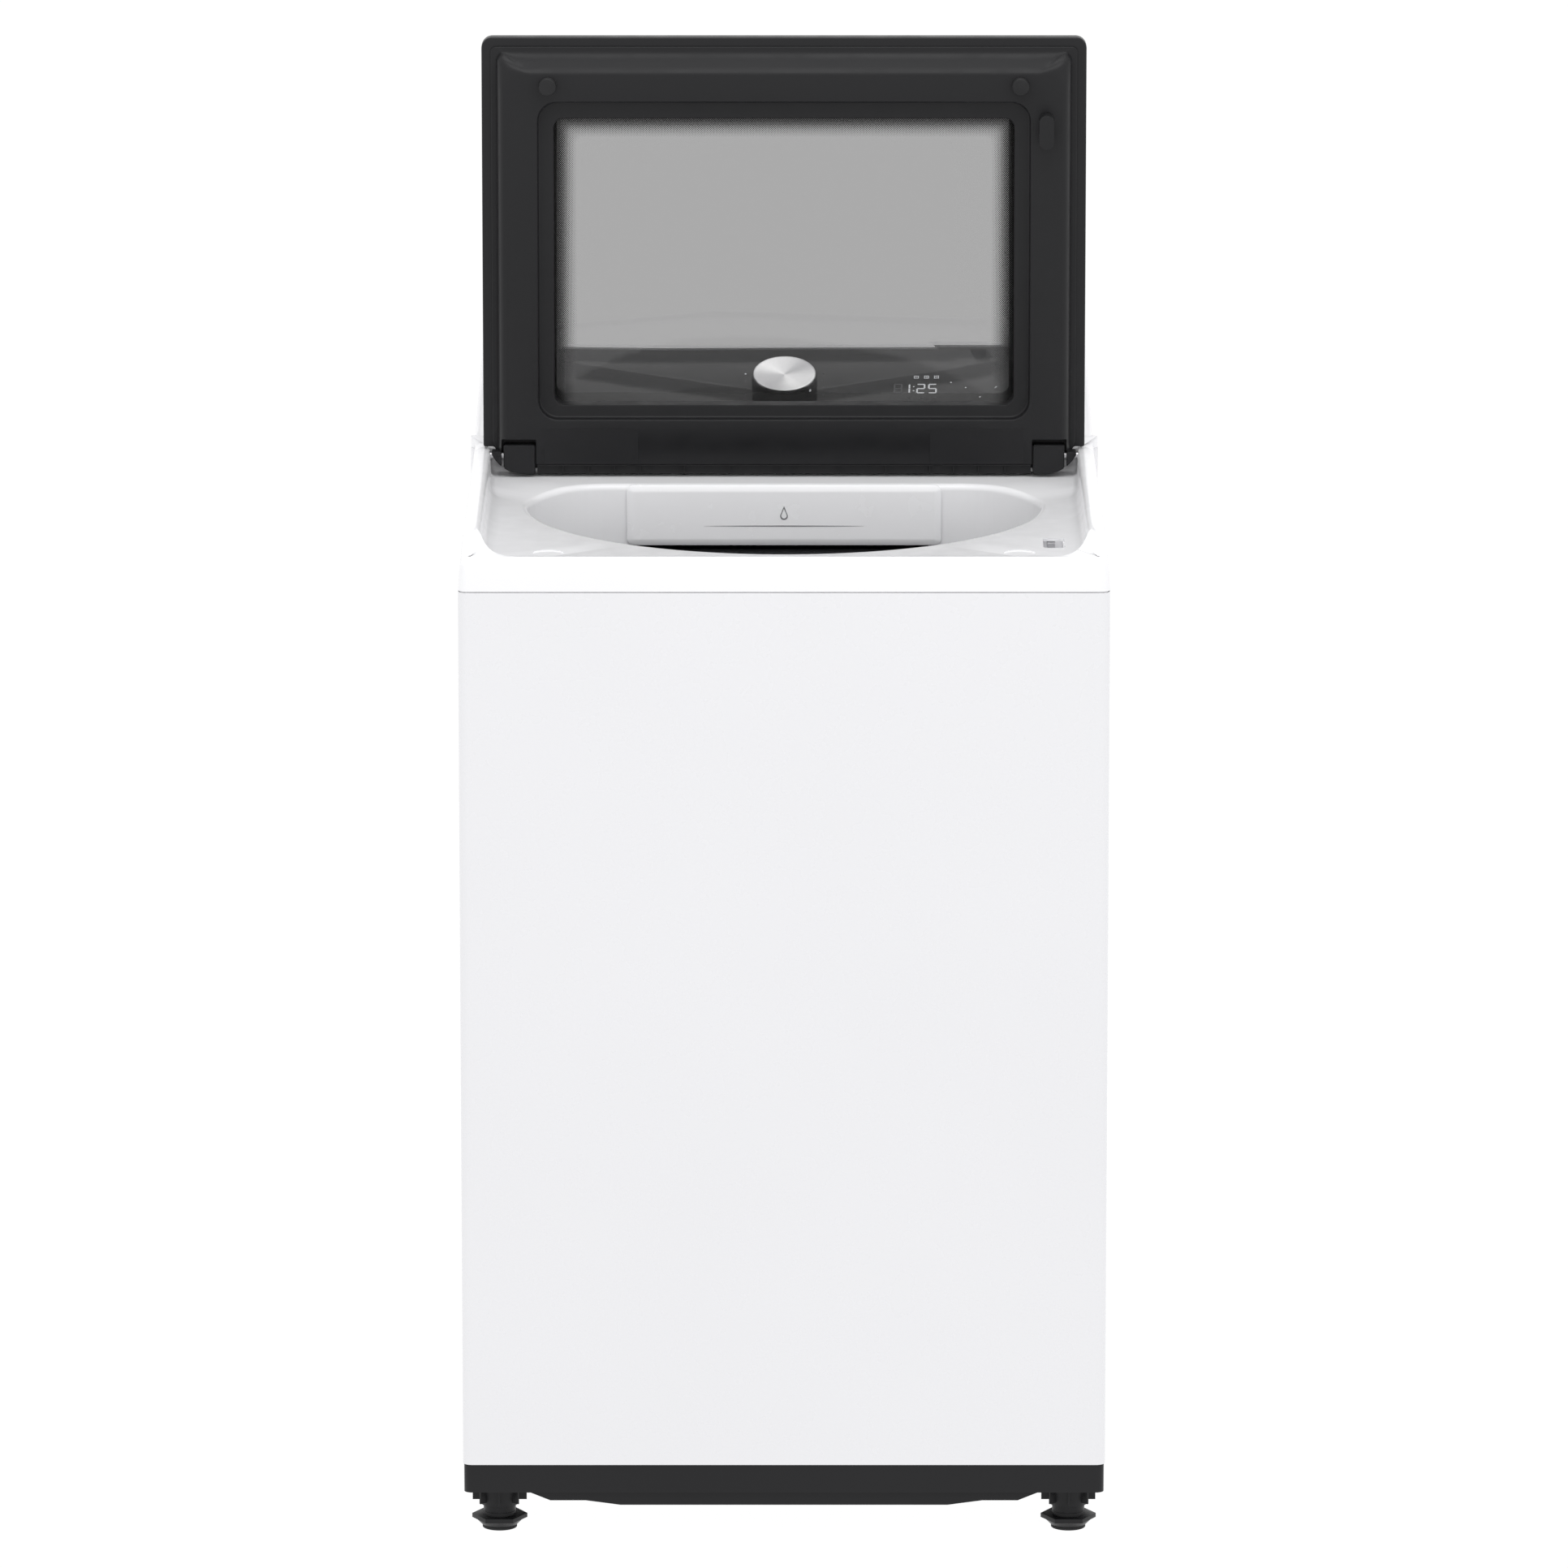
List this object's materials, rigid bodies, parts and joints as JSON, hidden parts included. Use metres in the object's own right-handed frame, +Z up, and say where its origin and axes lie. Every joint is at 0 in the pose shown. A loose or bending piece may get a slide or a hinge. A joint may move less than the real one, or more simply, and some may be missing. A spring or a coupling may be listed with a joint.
{
  "type": "top load washing machine",
  "caption": "Top load washing machine with a windowed hinged lid, a sloping rear console with a knob, a detergent drawer, a hung tub with basket and wash plate, and levelling feet.",
  "frame": {"origin": "on the floor under the middle of the body", "axes": "+Z up, front of the machine towards -Y, +X to the right seen from the front, lid drawn open"},
  "size_m": [0.686, 0.721, 1.544],
  "materials": {
    "white_enamel": "smooth gloss enamel",
    "white_plastic": "polished white plastic",
    "white_matte": "moulded white plastic",
    "black_plastic": "fine textured black plastic",
    "black_gloss": "gloss black panel",
    "grey_plastic": "moulded grey plastic",
    "blue_plastic": "moulded blue plastic",
    "green_board": "coated circuit board",
    "rubber": "moulded rubber",
    "zinc_sheet": "zinc coated sheet",
    "steel": "drawn steel",
    "stainless": "stainless sheet",
    "knob_metal": "circular brushed aluminium",
    "die_cast": "die cast aluminium",
    "winding": "laminations and windings",
    "tinted_glass": "tinted tempered glass"
  },
  "bodies": {
    "root": {"cabinet": "white_enamel", "rear_panel": "zinc_sheet", "base_frame": "black_plastic", "foot_locknuts": "black_plastic", "top_cover": "white_plastic", "console_rear_cover": "white_matte", "control_panel": "black_gloss", "display_module": "green_board", "control_board": "green_board", "knob_encoder": "grey_plastic", "hinge_pins": "steel", "lid_lock_housing": "white_matte", "dispenser_housing": "black_plastic", "inlet_valve": "white_matte", "inlet_hose": "rubber", "suspension_rods": "steel", "suspension_cups": "black_plastic", "drain_pump": "black_plastic", "drain_outlet": "rubber", "pressure_sensor": "white_matte", "cord_gland": "black_plastic", "case_screws": "steel"},
    "knob": {"knob_body": "black_gloss", "knob_cap": "knob_metal"},
    "lid": {"lid_outer_frame": "black_plastic", "lid_inner_frame": "black_plastic", "lid_glass": "tinted_glass", "lid_bumpers": "rubber", "lid_strike": "black_plastic", "lid_hinge_arms": "black_plastic"},
    "lock_bolt": {"lid_lock_bolt": "steel"},
    "drawer": {"drawer_tray": "white_plastic", "drawer_front": "white_plastic", "siphon_caps": "blue_plastic"},
    "tub": {"outer_tub": "grey_plastic", "tub_ring": "grey_plastic", "bearing_housing": "die_cast", "bearings": "steel", "shaft_seal": "rubber", "stator": "winding", "suspension_springs": "steel", "drain_bellows": "rubber"},
    "basket": {"wash_basket": "stainless", "balance_ring": "grey_plastic", "basket_hub": "die_cast", "lint_filters": "grey_plastic", "spin_tube": "steel", "clutch_coupler": "black_plastic"},
    "drive": {"impeller": "grey_plastic", "drive_shaft": "steel", "rotor": "steel"},
    "pump_wheel": {"pump_impeller": "grey_plastic"},
    "foot_front_left": {"foot_front_left": "black_plastic", "pad_front_left": "rubber"},
    "foot_front_right": {"foot_front_right": "black_plastic", "pad_front_right": "rubber"},
    "foot_rear_left": {"foot_rear_left": "black_plastic", "pad_rear_left": "rubber"},
    "foot_rear_right": {"foot_rear_right": "black_plastic", "pad_rear_right": "rubber"}
  },
  "joints": [
    {"name": "lid_hinge", "type": "hinge", "parent": "root", "child": "lid", "pos_m": [0, 0.1345, 1.085], "axis": [1, 0, 0], "range_deg": [0, 90]},
    {"name": "knob_turn", "type": "hinge", "parent": "root", "child": "knob", "pos_m": [0, 0.25487, 1.14048], "axis": [0, -0.4772, 0.8788], "continuous": true},
    {"name": "drawer_slide", "type": "slide", "parent": "root", "child": "drawer", "axis": [0, -1, 0], "range_m": [0, 0.14]},
    {"name": "lock_bolt_slide", "type": "slide", "parent": "root", "child": "lock_bolt", "axis": [0, -1, 0], "range_m": [0, 0.008]},
    {"name": "tub_bounce", "type": "slide", "parent": "root", "child": "tub", "axis": [0, 0, 1], "range_m": [-0.012, 0.012], "stiffness_N_per_m": 16000, "springref_m": 0.02596, "deforming": ["suspension_springs", "drain_bellows"]},
    {"name": "basket_spin", "type": "hinge", "parent": "tub", "child": "basket", "pos_m": [0, 0, 0.3], "axis": [0, 0, 1], "continuous": true},
    {"name": "drive_spin", "type": "hinge", "parent": "tub", "child": "drive", "pos_m": [0, 0, 0.2], "axis": [0, 0, 1], "continuous": true},
    {"name": "pump_spin", "type": "hinge", "parent": "root", "child": "pump_wheel", "pos_m": [0.15, -0.15, 0.13], "axis": [0, 0, 1], "continuous": true},
    {"name": "foot_front_left_screw", "type": "slide", "parent": "root", "child": "foot_front_left", "axis": [0, 0, -1], "range_m": [0, 0.012]},
    {"name": "foot_front_right_screw", "type": "slide", "parent": "root", "child": "foot_front_right", "axis": [0, 0, -1], "range_m": [0, 0.012]},
    {"name": "foot_rear_left_screw", "type": "slide", "parent": "root", "child": "foot_rear_left", "axis": [0, 0, -1], "range_m": [0, 0.012]},
    {"name": "foot_rear_right_screw", "type": "slide", "parent": "root", "child": "foot_rear_right", "axis": [0, 0, -1], "range_m": [0, 0.012]}
  ]
}
